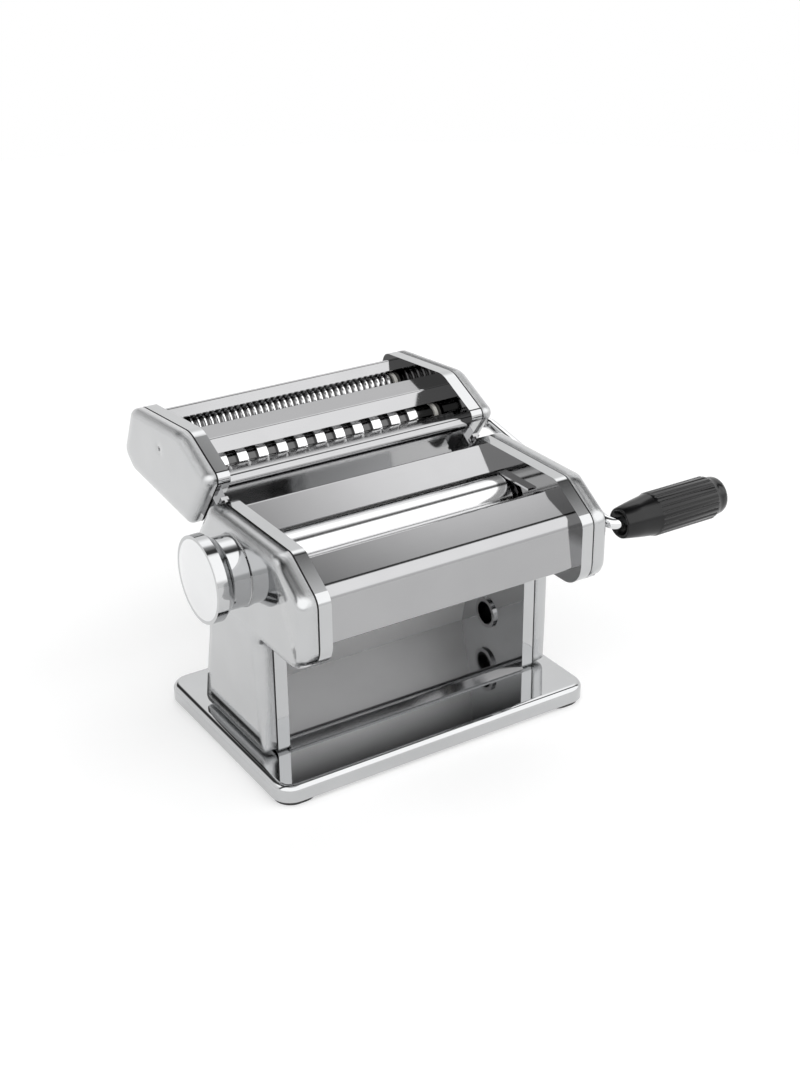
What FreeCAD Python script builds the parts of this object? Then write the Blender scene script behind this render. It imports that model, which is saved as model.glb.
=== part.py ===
# Hand-cranked pasta roller with a lift-off double cutter.
# Millimetres. X runs along the rollers with the crank at +X and the knob at -X.
# Y runs from the front (-Y) to the back (+Y). Z is up and 0 is the table.
import math
import os

import FreeCAD
import Part
import Sketcher

Vector = FreeCAD.Vector
Placement = FreeCAD.Placement
Rotation = FreeCAD.Rotation

doc = FreeCAD.newDocument("PastaRoller")
sheet = doc.addObject("Spreadsheet::Sheet", "Sizes")

# Driving sizes of the machine body. A text that starts with = is worked out by the sheet.
body_sizes = {
    "base_width": 212,
    "base_depth": 146,
    "base_corner": 12,
    "base_underside": 3,
    "base_height": 10,
    "base_edge_round": 4,
    "base_wall": 1.8,
    "foot_width": 24,
    "foot_inset": 2.2,
    "foot_corner": 10,
    "cheek_inside": 81.2,
    "cheek_gauge": 1.5,
    "cheek_depth": 7.5,
    "seal_gauge": 1.0,
    "seal_inset": 0.6,
    "seal_band": 1.6,
    "cover_depth": 10.3,
    "cover_wall": 1.8,
    "cover_edge_round": 4.5,
    "cover_foot_gap": 1.5,
    "leg_crease": 79.5,
    "leg_lean": 3,
    "leg_front": -38,
    "leg_back": 36,
    "leg_corner": 3,
    "waist_y": 20,
    "waist_z": 76,
    "waist_round": 30,
    "rear_corner_y": 39,
    "rear_corner_z": 114,
    "rear_corner_round": 11,
    "head_top": 150,
    "head_top_back": 12,
    "head_top_front": -64,
    "head_back_round": 4,
    "head_front_round": 9,
    "head_front": -90.5,
    "head_shoulder": 132.8,
    "head_shoulder_round": 9,
    "head_bottom": 90.5,
    "head_chin_round": 15,
    "head_notch_round": 7,
    "sheet_gauge": 1.2,
    "rod_radius": 4,
    "clamp_y": 0,
    "clamp_z": 36,
    "clamp_bore": 7,
    "clamp_tube": 8.2,
    "clamp_flange": 9.8,
}

# Driving sizes of the sheet panels and tie rods, as steps from corners of the side outline.
panel_sizes = {
    "front_lip_in": 10.5,
    "front_lip_rise": 11,
    "front_foot_in": 4.5,
    "front_foot_rise": 12.5,
    "front_foot_round": 2,
    "ridge_in": 7.3,
    "ridge_drop": 0.6,
    "ridge_round": 10,
    "front_top_in": 2.5,
    "front_top_drop": 7.4,
    "hopper_lip_back": 6.4,
    "hopper_lip_drop": 0.5,
    "hopper_crown_in": 2.8,
    "hopper_crown_drop": 3,
    "hopper_crown_round": 2,
    "hopper_tail_back": 15.2,
    "hopper_tail_drop": 27,
    "chute_rise": 5,
    "chute_back_in": 8.5,
    "chute_lip_out": 1.5,
    "chute_lip_rise": 1.2,
    "chute_bend_in": 5,
    "chute_bend_round": 8,
    "back_waist_in": 7.5,
    "back_waist_rise": 2,
    "back_waist_round": 30,
    "back_corner_in": 7.8,
    "back_corner_drop": 0.5,
    "back_corner_round": 5,
    "back_top_in": 12,
    "back_top_rise": 5.5,
    "tie_front_in": 16.5,
    "tie_front_rise": 21.5,
    "tie_rear_in": 19,
    "tie_rear_drop": 2,
}

# Driving sizes of the smooth rollers, the thickness regulator and its knob.
roller_sizes = {
    "roller_radius": 14.4,
    "roller_half_length": 77.6,
    "knob_set_back": 30.2,
    "knob_drop": 26.4,
    "knob_axis_y": "=head_top_back - knob_set_back",
    "knob_axis_z": "=head_top - knob_drop",
    "throw_side": 2.1,
    "throw_down": 2.1,
    "widest_gap": 4.8,
    "drive_drop": 0.43,
    "drive_shaft": 6,
    "drive_end": 100,
    "socket_bore": 3.55,
    "socket_depth": 16,
    "run_clearance": 0.05,
    "bush_wall": 2.5,
    "bush_flange": 3,
    "bush_inner": 79,
    "bush_outer": 85,
    "neck_radius": 9,
    "neck_end": 93,
    "neck_clearance": 3.2,
    "sleeve_radius": 7,
    "sleeve_length": 80,
    "axle_radius": 5,
    "axle_journal": 8,
    "axle_tail": 2,
    "axle_start": -79.4,
    "axle_end": 94,
    "tail_end": 97.6,
    "stub_start": -100,
    "stub_end": -117,
    "washer_radius": 8,
    "washer_gauge": 1.4,
    "hub_radius": 10,
    "hub_flange": 17.5,
    "hub_flange_inner": -97,
    "hub_flange_outer": -99.6,
    "hub_start": -80,
    "cover_hub_gap": 0.7,
    "pin_radius": 1.6,
    "pin_circle": 13,
    "pin_tip": -97.4,
    "pin_slot_gap": 0.3,
    "pin_rest_angle": 135,
    "regulator_turn": 90,
    "gear_start": 86,
    "gear_width": 6,
    "gear_teeth": 12,
    "gear_tooth_out": 3,
    "gear_tooth_in": 2.8,
    "gear_tip": "=roller_radius + gear_tooth_out",
    "gear_root": "=roller_radius - gear_tooth_in",
    "gear_root_share": 0.36,
    "gear_tip_share": 0.07,
    "gear_plate_start": 95,
    "gear_plate_gauge": 2,
    "post_radius": 3,
    "post_margin": 5,
    "post_front": 14.8,
    "post_back": 29.2,
    "post_rise": 17.4,
    "post_fall": 23.6,
    "scraper_gap": 0.6,
    "scraper_angle": 65,
    "scraper_run": 8,
    "scraper_fall": 7,
    "scraper_behind": 6.5,
    "strip_gauge": 1.2,
    "strip_front": 24.8,
    "strip_back": 5.6,
    "knob_base": 100.4,
    "knob_skirt": 20.5,
    "knob_skirt_end": 110,
    "knob_rim": 24.7,
    "knob_rim_start": 115.5,
    "knob_rim_end": 121.8,
    "knob_lip": 2,
    "knob_wall": 2.2,
    "knob_hub": 8.5,
    "knob_hub_start": 103,
    "knob_web_start": 107,
    "knob_web_end": 110,
    "knob_face_back": 119,
    "knob_dome": 2.6,
}

# Driving sizes of the cutter head.
cutter_sizes = {
    "cap_depth": 7.3,
    "cap_edge_round": 4,
    "ring_outer": 9.5,
    "ring_groove": 7.2,
    "ring_gap": 0.3,
    "ring_period": 13,
    "ring_width": "=ring_period / 2 - ring_gap",
    "ring_count": 12,
    "ring_sides": 10,
    "fine_outer": 9.2,
    "fine_groove": 7.4,
    "fine_gap": 0.4,
    "fine_period": 4.2,
    "fine_count": 36,
    "wide_distance": "=ring_outer + ring_groove + ring_gap",
    "narrow_distance": "=fine_outer + fine_groove + fine_gap",
    "pair_tilt": 17,
    "cutter_half_length": 77,
    "tooth_out": 1.6,
    "tooth_in": 1.9,
    "gear_wall_gap": 1.3,
    "cutter_gap": 10,
    "cutter_rise": 7,
    "cutter_face": 46,
    "cutter_under": 76.6,
    "cutter_under_rise": 7.2,
    "cutter_low_round": 8,
    "cutter_back_round": 10,
    "cutter_heel_round": 8,
    "cutter_crown_round": 18,
    "cutter_corner_round": 5,
    "cutter_heel": 12,
    "cutter_heel_rise": 10,
    "cutter_back_lean": 15,
    "cutter_back_rise": 31.2,
    "cutter_top": 66.5,
    "cutter_top_rise": 5.4,
    "wide_along": 31.8,
    "narrow_back": 46.4,
    "narrow_up": 6.3,
    "slope_run": "=rear_corner_y - head_top_back",
    "slope_fall": "=head_top - rear_corner_z",
    "slope_length": "=sqrt(slope_run ^ 2 + slope_fall ^ 2)",
    "out_y": "=slope_fall / slope_length",
    "out_z": "=slope_run / slope_length",
    "corner_y": "=head_top_back + cutter_gap * out_y - cutter_rise * out_z",
    "corner_z": "=head_top + cutter_gap * out_z + cutter_rise * out_y",
    "wide_out": "=wide_distance / 2 + tooth_out + cheek_gauge + gear_wall_gap",
    "wide_y": "=corner_y + wide_out * out_y + wide_along * out_z",
    "wide_z": "=corner_z + wide_out * out_z - wide_along * out_y",
    "narrow_y": "=wide_y + narrow_back",
    "narrow_z": "=wide_z + narrow_up",
    "cutter_shaft": 5,
    "cutter_far_shaft": 4,
    "cutter_shaft_end": 97,
    "idler_shaft_end": 91,
    "far_shaft_end": 85,
    "cutter_bush": 7,
    "cutter_bush_inner": 79,
    "cutter_bush_outer": 84.5,
    "cutter_gear_start": 85.5,
    "cutter_gear_width": 5,
    "cutter_gear_teeth": 12,
    "cutter_root_share": 0.33,
    "cutter_tip_share": 0.12,
    "rail_web": 1.5,
    "rail_web_rise": 4,
    "rail_head": 4.5,
    "rail_head_rise": 2,
    "rail_centre": 85,
    "rail_length": 30,
    "rail_low": 28,
    "hook_width": 7.4,
    "hook_gap": 0.3,
    "hook_lip": 1.3,
    "hook_length": 20,
    "hook_start": 4,
    "rail_start": 8,
    "rear_guide_lip_in": 4.1,
    "rear_guide_lip_rise": 10.6,
    "rear_guide_top_out": 2.9,
    "rear_guide_top_rise": 16.4,
    "rear_guide_heel_out": 20.1,
    "rear_guide_heel_drop": 12.6,
    "rear_guide_heel_round": 5,
    "rear_guide_end_out": 13.1,
    "rear_guide_end_drop": 18.7,
    "bar_front_in": 4.5,
    "bar_front_rise": 9.9,
    "bar_crest_in": 0.9,
    "bar_crest_rise": 17.8,
    "bar_rear_in": 14,
    "bar_rear_rise": 18.4,
    "bar_end_in": 9.2,
    "bar_end_rise": 8.8,
    "guide_bend": 2,
    "guide_low_in": 6.6,
    "guide_low_drop": 12.5,
    "guide_lip_set": 0.1,
    "guide_lip_round": 4.8,
    "guide_high_in": 1.7,
    "guide_high_rise": 11.8,
    "stripper_low_back": 22,
    "stripper_low_drop": 10.5,
    "stripper_high_back": 25,
    "stripper_high_drop": 5.5,
    "cap_hole_back": 62.2,
    "cap_hole_drop": 1.1,
    "cap_hole": 1.5,
}

# Driving sizes of the crank.
crank_sizes = {
    "crank_rod": 3.5,
    "crank_tip": 84.6,
    "crank_arm_x": 110.5,
    "crank_bend": 8,
    "grip_y": -80,
    "grip_z": 119.5,
    "grip_mouth_x": 116.5,
    "grip_mouth": 9.25,
    "grip_mouth_bore": 7.2,
    "grip_mouth_depth": 13.5,
    "grip_shoulder_x": 138.5,
    "grip_shoulder": 12.6,
    "grip_body": 13.2,
    "grip_body_end": 182,
    "grip_end": 191.5,
    "grip_end_radius": 11.2,
    "grip_end_round": 2.2,
    "grip_spindle_end": 185,
    "grip_spindle_gap": 1.5,
}

row = 0
for group in (body_sizes, panel_sizes, roller_sizes, cutter_sizes, crank_sizes):
    for word, number in group.items():
        row += 1
        sheet.set(f"A{row}", word)
        sheet.set(f"B{row}", str(number))
        sheet.setAlias(f"B{row}", word)
doc.recompute()


def size(word):
    """The sheet's number for a named size."""
    return float(sheet.get(word))


def bind(item, prop, expression):
    """Tie a property to the sheet; a bare size name is enough."""
    words = expression.split()
    tied = " ".join("Sizes." + word if word[0].isalpha() else word for word in words)
    item.setExpression(prop, tied)


nodes = {}


def keep(item, label):
    """Name a finished sub-part as a node of the assembly."""
    item.Label = label
    nodes[label] = item
    return item


def line_cross(first, second):
    """Where two lines meet; each is (point y, point z, direction y, direction z)."""
    y1, z1, a1, b1 = first
    y2, z2, a2, b2 = second
    turn = a1 * b2 - b1 * a2
    along = ((y2 - y1) * b2 - (z2 - z1) * a2) / turn
    return y1 + a1 * along, z1 + b1 * along


def inset(corners, distance):
    """Shift a counter-clockwise outline inwards, keeping its rounded corners concentric."""
    count = len(corners)
    lines = []
    for index, (y, z, _) in enumerate(corners):
        next_y, next_z, _ = corners[(index + 1) % count]
        run = math.hypot(next_y - y, next_z - z)
        along_y, along_z = (next_y - y) / run, (next_z - z) / run
        lines.append((y - along_z * distance, z + along_y * distance, along_y, along_z))
    moved = []
    for index, (_, _, radius) in enumerate(corners):
        before, after = lines[index - 1], lines[index]
        convex = before[2] * after[3] - before[3] * after[2] > 0
        y, z = line_cross(before, after)
        moved.append((y, z, max(radius - distance, 0.4) if convex else radius + distance))
    return moved


def rounded_edges(corners):
    """A closed loop of lines and tangent arcs through corners, each (y, z, radius)."""
    count = len(corners)
    cuts = []
    for index, (y, z, radius) in enumerate(corners):
        here = Vector(y, z, 0)
        last = Vector(corners[index - 1][0], corners[index - 1][1], 0)
        following = corners[(index + 1) % count]
        ahead = Vector(following[0], following[1], 0)
        back_way = (last - here).normalize()
        on_way = (ahead - here).normalize()
        half_angle = back_way.getAngle(on_way) / 2
        if radius <= 0:
            cuts.append((here, here, None))
            continue
        reach = radius / math.tan(half_angle)
        middle_way = (back_way + on_way).normalize()
        middle = here + middle_way * (radius / math.sin(half_angle) - radius)
        cuts.append((here + back_way * reach, here + on_way * reach, middle))
    edges = []
    for index, (start, end, middle) in enumerate(cuts):
        if middle is not None:
            edges.append(Part.Arc(start, middle, end))
        target = cuts[(index + 1) % count][0]
        if end.distanceToPoint(target) > 1e-6:
            edges.append(Part.LineSegment(end, target))
    return edges


def bent_sheet(face, gauge):
    """Closed outline of a bent sheet from its seen face; the metal lies to the right of the way drawn."""
    count = len(face)
    lines = []
    for (y, z, _), (next_y, next_z, _) in zip(face, face[1:]):
        run = math.hypot(next_y - y, next_z - z)
        along_y, along_z = (next_y - y) / run, (next_z - z) / run
        lines.append((y + along_z * gauge, z - along_y * gauge, along_y, along_z))
    back = [(lines[0][0], lines[0][1], 0)]
    for index in range(1, count - 1):
        before, after = lines[index - 1], lines[index]
        left_turn = before[2] * after[3] - before[3] * after[2] > 0
        y, z = line_cross(before, after)
        radius = face[index][2]
        back.append((y, z, radius + gauge if left_turn else max(radius - gauge, 0.2)))
    end_y, end_z, _ = face[-1]
    back.append((end_y + lines[-1][3] * gauge, end_z - lines[-1][2] * gauge, 0))
    return list(face) + back[::-1]


def plane(body, role):
    """One of a body's own origin planes."""
    return next(item for item in body.Origin.OriginFeatures if item.Role == role)


def outline_sketch(body, name, role, offset, outlines=(), holes=()):
    """A sketch on an origin plane: rounded outlines, and holes with their radii tied to the sheet."""
    sketch = body.newObject("Sketcher::SketchObject", name)
    sketch.AttachmentSupport = (plane(body, role), [""])
    sketch.MapMode = "FlatFace"
    bind(sketch, "AttachmentOffset.Base.z", offset)
    for corners in outlines:
        sketch.addGeometry(rounded_edges(corners), False)
    for y, z, radius in holes:
        index = sketch.addGeometry(Part.Circle(Vector(y, z, 0), Vector(0, 0, 1), 1), False)
        sketch.addConstraint(Sketcher.Constraint("DistanceX", index, 3, y))
        sketch.addConstraint(Sketcher.Constraint("DistanceY", index, 3, z))
        rule = sketch.addConstraint(Sketcher.Constraint("Radius", index, 1))
        bind(sketch, f"Constraints[{rule}]", radius)
    return sketch


def pad(body, sketch, length):
    """Pad a sketch along its own normal."""
    feature = body.newObject("PartDesign::Pad", sketch.Name + "Pad")
    feature.Profile = sketch
    bind(feature, "Length", length)
    sketch.Visibility = False
    return feature


def pocket(body, sketch, length, along_normal=False):
    """Cut a sketch into the body, against its normal unless told otherwise."""
    feature = body.newObject("PartDesign::Pocket", sketch.Name + "Pocket")
    feature.Profile = sketch
    feature.Reversed = along_normal
    bind(feature, "Length", length)
    return feature


def round_edges(body, feature, chosen, radius):
    """Fillet the edges of a feature that the test picks."""
    doc.recompute()
    names = [f"Edge{number}" for number, edge in enumerate(feature.Shape.Edges, 1) if chosen(edge)]
    fillet = body.newObject("PartDesign::Fillet", feature.Name + "Round")
    fillet.Base = (feature, names)
    bind(fillet, "Radius", radius)
    return fillet


def new_body(name):
    """An empty body."""
    return doc.addObject("PartDesign::Body", name)


def across(name, outlines, start, length, holes=()):
    """A plate or strip with its outline in the YZ plane, running along +X."""
    body = new_body(name)
    pad(body, outline_sketch(body, name + "Outline", "YZ_Plane", start, outlines, holes), length)
    return body


def turned(name, profile, y, z):
    """A turned piece: a closed profile of (x, radius) points revolved about an X axis at (y, z)."""
    body = new_body(name)
    sketch = outline_sketch(body, name + "Profile", "XY_Plane", "0", [[(x, r, 0) for x, r in profile]])
    turn = body.newObject("PartDesign::Revolution", name + "Turn")
    turn.Profile = sketch
    turn.ReferenceAxis = (sketch, ["H_Axis"])
    turn.Angle = 360
    bind(body, "Placement.Base.y", y)
    bind(body, "Placement.Base.z", z)
    return body


def tube(name, start, length, outer, inner, y, z):
    """A plain round tube along X."""
    ends = []
    for kind, radius in (("Outer", outer), ("Inner", inner)):
        cylinder = doc.addObject("Part::Cylinder", name + kind)
        cylinder.Placement = Placement(Vector(), Rotation(Vector(0, 1, 0), 90))
        bind(cylinder, "Radius", radius)
        bind(cylinder, "Height", length)
        bind(cylinder, "Placement.Base.x", start)
        bind(cylinder, "Placement.Base.y", y)
        bind(cylinder, "Placement.Base.z", z)
        ends.append(cylinder)
    cut = doc.addObject("Part::Cut", name)
    cut.Base, cut.Tool = ends
    return cut


def rod(name, start, length, radius, y, z):
    """A plain round bar along X."""
    cylinder = doc.addObject("Part::Cylinder", name)
    cylinder.Placement = Placement(Vector(), Rotation(Vector(0, 1, 0), 90))
    bind(cylinder, "Radius", radius)
    bind(cylinder, "Height", length)
    bind(cylinder, "Placement.Base.x", start)
    bind(cylinder, "Placement.Base.y", y)
    bind(cylinder, "Placement.Base.z", z)
    return cylinder


def mirrored(item, name):
    """The left-hand twin of a right-hand piece."""
    twin = doc.addObject("Part::Mirroring", name)
    twin.Source = item
    twin.Normal = Vector(1, 0, 0)
    return twin


def grouped(name, items):
    """Several like pieces kept as one node."""
    group = doc.addObject("Part::Compound", name)
    group.Links = items
    return group


# Base plate: a pressed tray with a rolled top edge, open underneath.
base_half_x = size("base_width") / 2
base_half_y = size("base_depth") / 2
base_corner = size("base_corner")
base_outline = [(-base_half_x, -base_half_y, base_corner), (base_half_x, -base_half_y, base_corner),
                (base_half_x, base_half_y, base_corner), (-base_half_x, base_half_y, base_corner)]
base = new_body("BasePlate")
base_sketch = outline_sketch(base, "BaseOutline", "XY_Plane", "base_underside", [base_outline])
base_pad = pad(base, base_sketch, "base_height")
base_top = size("base_underside") + size("base_height")
round_edges(base, base_pad, lambda edge: edge.BoundBox.ZMin > base_top - 0.01, "base_edge_round")
base_hollow = outline_sketch(base, "BaseHollow", "XY_Plane", "base_underside",
                             [inset(base_outline, size("base_wall"))])
pocket(base, base_hollow, "base_height - base_wall", along_normal=True)
keep(base, "base_plate")

# Rubber feet: four blocks set up into the corners of the tray.
feet = []
foot_half = size("foot_width") / 2
for side_x in (-1, 1):
    for side_y in (-1, 1):
        foot = new_body("Foot")
        middle_x = side_x * (base_half_x - size("foot_inset") - foot_half)
        middle_y = side_y * (base_half_y - size("foot_inset") - foot_half)
        foot_outline = [(middle_x - foot_half, middle_y - foot_half, size("foot_corner")),
                        (middle_x + foot_half, middle_y - foot_half, size("foot_corner")),
                        (middle_x + foot_half, middle_y + foot_half, size("foot_corner")),
                        (middle_x - foot_half, middle_y + foot_half, size("foot_corner"))]
        pad(foot, outline_sketch(foot, "FootOutline", "XY_Plane", "0", [foot_outline]),
            "base_underside + base_height - base_wall")
        feet.append(foot)
keep(grouped("RubberFeet", feet), "rubber_feet")


def head_outline(foot_level):
    """Side outline of the machine: a leg on the base and the roller head above it."""
    return [(size("leg_front"), foot_level, size("leg_corner")),
            (size("leg_back"), foot_level, size("leg_corner")),
            (size("waist_y"), size("waist_z"), size("waist_round")),
            (size("rear_corner_y"), size("rear_corner_z"), size("rear_corner_round")),
            (size("head_top_back"), size("head_top"), size("head_back_round")),
            (size("head_top_front"), size("head_top"), size("head_front_round")),
            (size("head_front"), size("head_shoulder"), size("head_shoulder_round")),
            (size("head_front"), size("head_bottom"), size("head_chin_round")),
            (size("leg_front"), size("head_bottom"), size("head_notch_round"))]


# Roller axes: the knob axis, the adjusting roller's eccentric axis at rest, and the fixed drive axis.
knob_y, knob_z = size("knob_axis_y"), size("knob_axis_z")
axle_y = knob_y + size("throw_side")
axle_z = knob_z - size("throw_down")
drive_y = axle_y - 2 * size("roller_radius") - size("widest_gap")
drive_z = axle_z - size("drive_drop")
AXLE_Y = "knob_axis_y + throw_side"
AXLE_Z = "knob_axis_z - throw_down"
DRIVE_Y = "knob_axis_y + throw_side - 2 * roller_radius - widest_gap"
DRIVE_Z = "knob_axis_z - throw_down - drive_drop"

cheek_outline = head_outline(base_top)
cover_outline = head_outline(base_top + size("cover_foot_gap"))
clamp_spot = (size("clamp_y"), size("clamp_z"))


def cheek(name, outline, holes):
    """A side plate with its rim flange turned outwards, made on the right-hand side."""
    body = across(name, [outline], "cheek_inside", "cheek_depth", holes)
    hollow = outline_sketch(body, name + "Hollow", "YZ_Plane", "cheek_inside + cheek_depth",
                            [inset(outline, size("cheek_gauge"))])
    pocket(body, hollow, "cheek_depth - cheek_gauge")
    return body


def seal(name, outline):
    """The thin dark gasket between a side plate's rim and its cover."""
    band = size("seal_inset") + size("seal_band")
    loops = [inset(outline, size("seal_inset")), inset(outline, band)]
    return across(name, loops, "cheek_inside + cheek_depth", "seal_gauge")


def shell(name, outline, depth, edge_round, shallow, crest, holes):
    """A deep side cover with a rolled outer edge; its hollow is shallower below the crest line."""
    start = "cheek_inside + cheek_depth + seal_gauge"
    body = new_body(name)
    block = pad(body, outline_sketch(body, name + "Outline", "YZ_Plane", start, [outline]), depth)
    outer = size("cheek_inside") + size("cheek_depth") + size("seal_gauge") + size(depth)
    round_edges(body, block, lambda edge: edge.BoundBox.XMin > outer - 0.01, edge_round)
    inner = inset(outline, size("cover_wall"))
    hollow = outline_sketch(body, name + "Hollow", "YZ_Plane", start, [inner])
    pocket(body, hollow, f"{depth} - cover_wall - {shallow}", along_normal=True)
    if crest:
        upper = [corner for corner in inner if corner[1] > crest]
        chin_y = upper.pop()[0]
        upper = [(upper[0][0] - 12, crest, 2)] + upper + [(chin_y, crest, 2)]
        deep = outline_sketch(body, name + "Deep", "YZ_Plane", start, [upper])
        pocket(body, deep, f"{depth} - cover_wall", along_normal=True)
    if holes:
        opening = outline_sketch(body, name + "Holes", "YZ_Plane", start, [], holes)
        pocket(body, opening, depth, along_normal=True)
    return body


# Side plates. The right one carries the gears, the left one the regulator hub.
right_holes = [(knob_y, knob_z, "neck_radius + neck_clearance"),
               (drive_y, drive_z, "drive_shaft + run_clearance + bush_wall"),
               (*clamp_spot, "clamp_tube")]
left_holes = [(knob_y, knob_z, "hub_radius"),
              (drive_y, drive_z, "drive_shaft + run_clearance + bush_wall")]
keep(cheek("RightCheek", cheek_outline, right_holes), "right_cheek")
keep(mirrored(cheek("LeftCheekHalf", cheek_outline, left_holes), "LeftCheek"), "left_cheek")
right_seal = seal("RightSeal", cover_outline)
keep(right_seal, "right_seal")
keep(mirrored(right_seal, "LeftSeal"), "left_seal")


def lean_block(name):
    """The wedge of space that the leaning leg of a cover leaves free."""
    block = doc.addObject("Part::Box", name)
    angle = math.degrees(math.atan2(size("leg_lean"), size("leg_crease") - base_top))
    block.Placement = Placement(Vector(), Rotation(Vector(0, 1, 0), angle))
    bind(block, "Length", "2 * cover_depth")
    bind(block, "Width", "base_depth")
    outer_face = "cheek_inside + cheek_depth + seal_gauge + cover_depth"
    drop = size("leg_crease") / math.cos(math.radians(angle))
    block.Height = drop
    bind(block, "Placement.Base.y", "0 - base_depth / 2")
    lean_share = drop * math.sin(math.radians(angle))
    bind(block, "Placement.Base.x", f"{outer_face} - {lean_share}")
    return block


def cover(name, holes):
    """A cover with its leg face leaning in below the crease."""
    solid = shell(name + "Shell", cover_outline, "cover_depth", "cover_edge_round", "leg_lean",
                  size("head_bottom") + 3, holes)
    cut = doc.addObject("Part::Cut", name)
    cut.Base = solid
    cut.Tool = lean_block(name + "Lean")
    return cut


right_cover_holes = [(drive_y, drive_z, "drive_shaft + cover_hub_gap"), (*clamp_spot, "clamp_tube")]
left_cover_holes = [(knob_y, knob_z, "hub_flange + cover_hub_gap")]
keep(cover("RightCover", right_cover_holes), "right_cover")
keep(mirrored(cover("LeftCoverHalf", left_cover_holes), "LeftCover"), "left_cover")

# Clamp eyelet: a flanged tube through the right leg for the table clamp.
eyelet = tube("ClampTube", "cheek_inside - cheek_gauge",
              "cheek_gauge + cheek_depth + seal_gauge + cover_depth", "clamp_tube", "clamp_bore",
              "clamp_y", "clamp_z")
eyelet_flange = tube("ClampFlange", "cheek_inside - cheek_gauge", "cheek_gauge", "clamp_flange", "clamp_bore",
                     "clamp_y", "clamp_z")
eyelet_whole = doc.addObject("Part::Fuse", "ClampEyelet")
eyelet_whole.Base, eyelet_whole.Tool = eyelet, eyelet_flange
keep(eyelet_whole, "clamp_eyelet")


def panel(name, face):
    """A bent sheet that runs from one side plate to the other."""
    outline = bent_sheet(face, size("sheet_gauge"))
    return across(name, [outline], "0 - cheek_inside", "2 * cheek_inside")


def away(word):
    """A named size, or its negative when the name has a minus sign in front."""
    return -size(word[1:]) if word.startswith("-") else size(word)


def near(point, side_word, up_word, round_word=None):
    """A corner set off from a point of the machine by named sizes, as (y, z, radius)."""
    radius = size(round_word) if round_word else 0
    return point[0] + away(side_word), point[1] + away(up_word), radius


# Sheet panels between the side plates, each drawn along its seen face from the outline's own corners.
head_chin = (size("head_front"), size("head_bottom"))
head_brow = (size("head_front"), size("head_shoulder"))
head_edge = (size("head_top_front"), size("head_top"))
head_crown = (size("head_top_back"), size("head_top"))
head_rear = (size("rear_corner_y"), size("rear_corner_z"))
head_waist = (size("waist_y"), size("waist_z"))
front_panel_face = [near(head_chin, "front_lip_in", "front_lip_rise"),
                    near(head_chin, "front_foot_in", "front_foot_rise", "front_foot_round"),
                    near(head_brow, "ridge_in", "-ridge_drop", "ridge_round"),
                    near(head_edge, "front_top_in", "-front_top_drop")]
keep(panel("FrontPanel", front_panel_face), "front_panel")
roller_crest = (knob_y, knob_z + size("roller_radius"))
hopper_face = [near(roller_crest, "hopper_lip_back", "-hopper_lip_drop"),
               near(head_crown, "-hopper_crown_in", "-hopper_crown_drop", "hopper_crown_round"),
               near(head_crown, "hopper_tail_back", "-hopper_tail_drop")]
keep(panel("HopperPlate", hopper_face), "hopper_plate")
chute_back = near((size("leg_back"), base_top), "-chute_back_in", "chute_rise")
back_panel_face = [chute_back,
                   near(head_waist, "-back_waist_in", "back_waist_rise", "back_waist_round"),
                   near(head_rear, "-back_corner_in", "-back_corner_drop", "back_corner_round"),
                   near(head_rear, "-back_top_in", "back_top_rise")]
keep(panel("BackPanel", back_panel_face), "back_panel")
leg_toe = (size("leg_front"), base_top)
chute_face = [near(leg_toe, "-chute_lip_out", "chute_lip_rise"),
              near(leg_toe, "chute_bend_in", "chute_rise", "chute_bend_round"), chute_back]
keep(panel("ChutePlate", chute_face), "chute_plate")

# Tie rods from cheek to cheek inside the head.
tie_rods = []
tie_spots = (("head_front + tie_front_in", "head_bottom + tie_front_rise"),
             ("rear_corner_y - tie_rear_in", "rear_corner_z - tie_rear_drop"))
for tie_number, tie_spot in enumerate(tie_spots, 1):
    tie_rods.append(rod(f"TieRod{tie_number}", "0 - cheek_inside", "2 * cheek_inside", "rod_radius",
                        *tie_spot))
keep(grouped("TieRods", tie_rods), "tie_rods")

# Strips over the roller ends that keep dough off the cheeks.
strip_front, strip_back = knob_y - size("strip_front"), knob_y + size("strip_back")
strip_low = axle_z + size("roller_radius") - 0.1
strip_high = strip_low + size("strip_gauge")
strip_outline = [(strip_front, strip_low, 0), (strip_back, strip_low, 0), (strip_back, strip_high, 0),
                 (strip_front, strip_high, 0)]
right_strip = across("EndStripRight", [strip_outline], "roller_half_length + 0.6",
                     "cheek_inside - roller_half_length - 0.6")
keep(grouped("RollerEndStrips", [right_strip, mirrored(right_strip, "EndStripLeft")]), "roller_end_strips")

# Scraper blades under the two smooth rollers.
scraper_reach = size("roller_radius") + size("scraper_gap")
scraper_way = math.radians(size("scraper_angle"))
front_edge = (drive_y - scraper_reach * math.cos(scraper_way),
              drive_z - scraper_reach * math.sin(scraper_way), 0)
keep(panel("FrontScraper", [near(front_edge, "-scraper_run", "-scraper_fall"), front_edge]), "front_scraper")
rear_edge = (knob_y + size("scraper_behind"), axle_z - scraper_reach - size("scraper_gap"), 0)
keep(panel("RearScraper", [rear_edge, near(rear_edge, "scraper_run", "-scraper_fall")]), "rear_scraper")

# Drive roller: fixed axis, crank socket in its right-hand end.
half_length = size("roller_half_length")
drive_end = size("drive_end")
socket_floor = drive_end - size("socket_depth")
shaft = size("drive_shaft")
drive_profile = [(-size("bush_outer"), 0), (-size("bush_outer"), shaft), (-half_length, shaft),
                 (-half_length, size("roller_radius")), (half_length, size("roller_radius")),
                 (half_length, shaft), (drive_end, shaft), (drive_end, size("socket_bore")),
                 (socket_floor, size("socket_bore")), (socket_floor, 0)]
keep(turned("DriveRoller", drive_profile, DRIVE_Y, DRIVE_Z), "drive_roller")

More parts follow.
